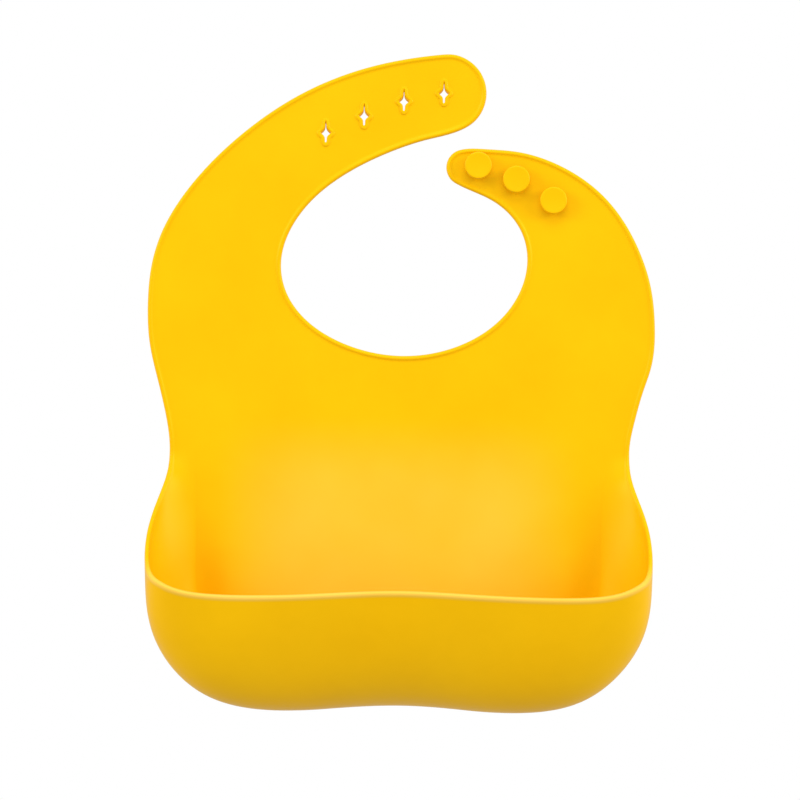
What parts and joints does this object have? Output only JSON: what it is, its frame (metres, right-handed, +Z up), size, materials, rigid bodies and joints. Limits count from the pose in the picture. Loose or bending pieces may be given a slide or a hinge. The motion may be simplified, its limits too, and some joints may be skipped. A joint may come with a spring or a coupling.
{
  "type": "silicone bib",
  "caption": "Soft baby bib with an open catch-all pocket and two neck straps that button together behind the neck.",
  "frame": {"origin": "middle of the neck opening, halfway through the sheet's thickness", "axes": "+Z up as worn, towards the straps; the front of the bib faces -Y and the wearer is at +Y; +X is to the right as seen from the front, on the side of the stud strap"},
  "size_m": [0.2301, 0.0527, 0.2973],
  "materials": {
    "yellow_silicone": "satin moulded silicone"
  },
  "bodies": {
    "chest": {"chest_panel": "yellow_silicone"},
    "hole_root": {"hole_strap_root": "yellow_silicone"},
    "hole_middle": {"hole_strap_middle": "yellow_silicone"},
    "hole_tip": {"hole_strap_tip": "yellow_silicone"},
    "stud_root": {"stud_strap_root": "yellow_silicone", "stud_3": "yellow_silicone"},
    "stud_tip": {"stud_strap_tip": "yellow_silicone", "stud_1": "yellow_silicone", "stud_2": "yellow_silicone"},
    "band_upper": {"fold_band_upper": "yellow_silicone"},
    "band_lower": {"fold_band_lower": "yellow_silicone"},
    "lower_panel": {"pocket_back_panel": "yellow_silicone"},
    "pocket": {"pocket_front_wall": "yellow_silicone", "pocket_floor": "yellow_silicone", "pocket_side_left": "yellow_silicone", "pocket_side_right": "yellow_silicone"}
  },
  "joints": [
    {"name": "hole_strap_wrap", "type": "hinge", "parent": "chest", "child": "hole_root", "pos_m": [-0.0825, 0, 0.005], "axis": [-1, 0, 0], "range_deg": [-15, 50], "stiffness_Nm_per_rad": 0.05},
    {"name": "hole_strap_bend_middle", "type": "hinge", "parent": "hole_root", "child": "hole_middle", "pos_m": [-0.05375, 0, 0.0447], "axis": [-0.7129, 0, 0.7012], "range_deg": [-15, 50], "stiffness_Nm_per_rad": 0.03},
    {"name": "hole_strap_bend_tip", "type": "hinge", "parent": "hole_middle", "child": "hole_tip", "pos_m": [-0.00875, 0, 0.06955], "axis": [-0.3631, 0, 0.9318], "range_deg": [-10.5, 35], "stiffness_Nm_per_rad": 0.02},
    {"name": "stud_strap_wrap", "type": "hinge", "parent": "chest", "child": "stud_root", "pos_m": [0.0824, 0, 0.005], "axis": [-1, 0, 0], "range_deg": [-15, 50], "stiffness_Nm_per_rad": 0.05},
    {"name": "stud_strap_bend_tip", "type": "hinge", "parent": "stud_root", "child": "stud_tip", "pos_m": [0.0595, 0, 0.0319], "axis": [-0.4763, 0, -0.8793], "range_deg": [-12, 40], "stiffness_Nm_per_rad": 0.02},
    {"name": "chest_fold", "type": "hinge", "parent": "chest", "child": "band_upper", "pos_m": [0, 0, -0.05], "axis": [-1, 0, 0], "range_deg": [-35, 40], "stiffness_Nm_per_rad": 0.25},
    {"name": "chest_fold_middle", "type": "hinge", "parent": "band_upper", "child": "band_lower", "pos_m": [0, 0, -0.064], "axis": [-1, 0, 0], "range_deg": [-35, 40], "stiffness_Nm_per_rad": 0.25},
    {"name": "chest_fold_lower", "type": "hinge", "parent": "band_lower", "child": "lower_panel", "pos_m": [0, 0, -0.078], "axis": [-1, 0, 0], "range_deg": [-35, 40], "stiffness_Nm_per_rad": 0.25},
    {"name": "pocket_flex", "type": "hinge", "parent": "lower_panel", "child": "pocket", "pos_m": [0, 0, -0.188], "axis": [1, 0, 0], "range_deg": [-10, 18], "stiffness_Nm_per_rad": 0.25}
  ],
  "couplings": [
    {"joint": "hole_strap_bend_middle", "follows": "hole_strap_wrap", "ratio": 1},
    {"joint": "hole_strap_bend_tip", "follows": "hole_strap_wrap", "ratio": 0.7},
    {"joint": "stud_strap_bend_tip", "follows": "stud_strap_wrap", "ratio": 0.8},
    {"joint": "chest_fold_middle", "follows": "chest_fold", "ratio": 1},
    {"joint": "chest_fold_lower", "follows": "chest_fold", "ratio": 1}
  ]
}
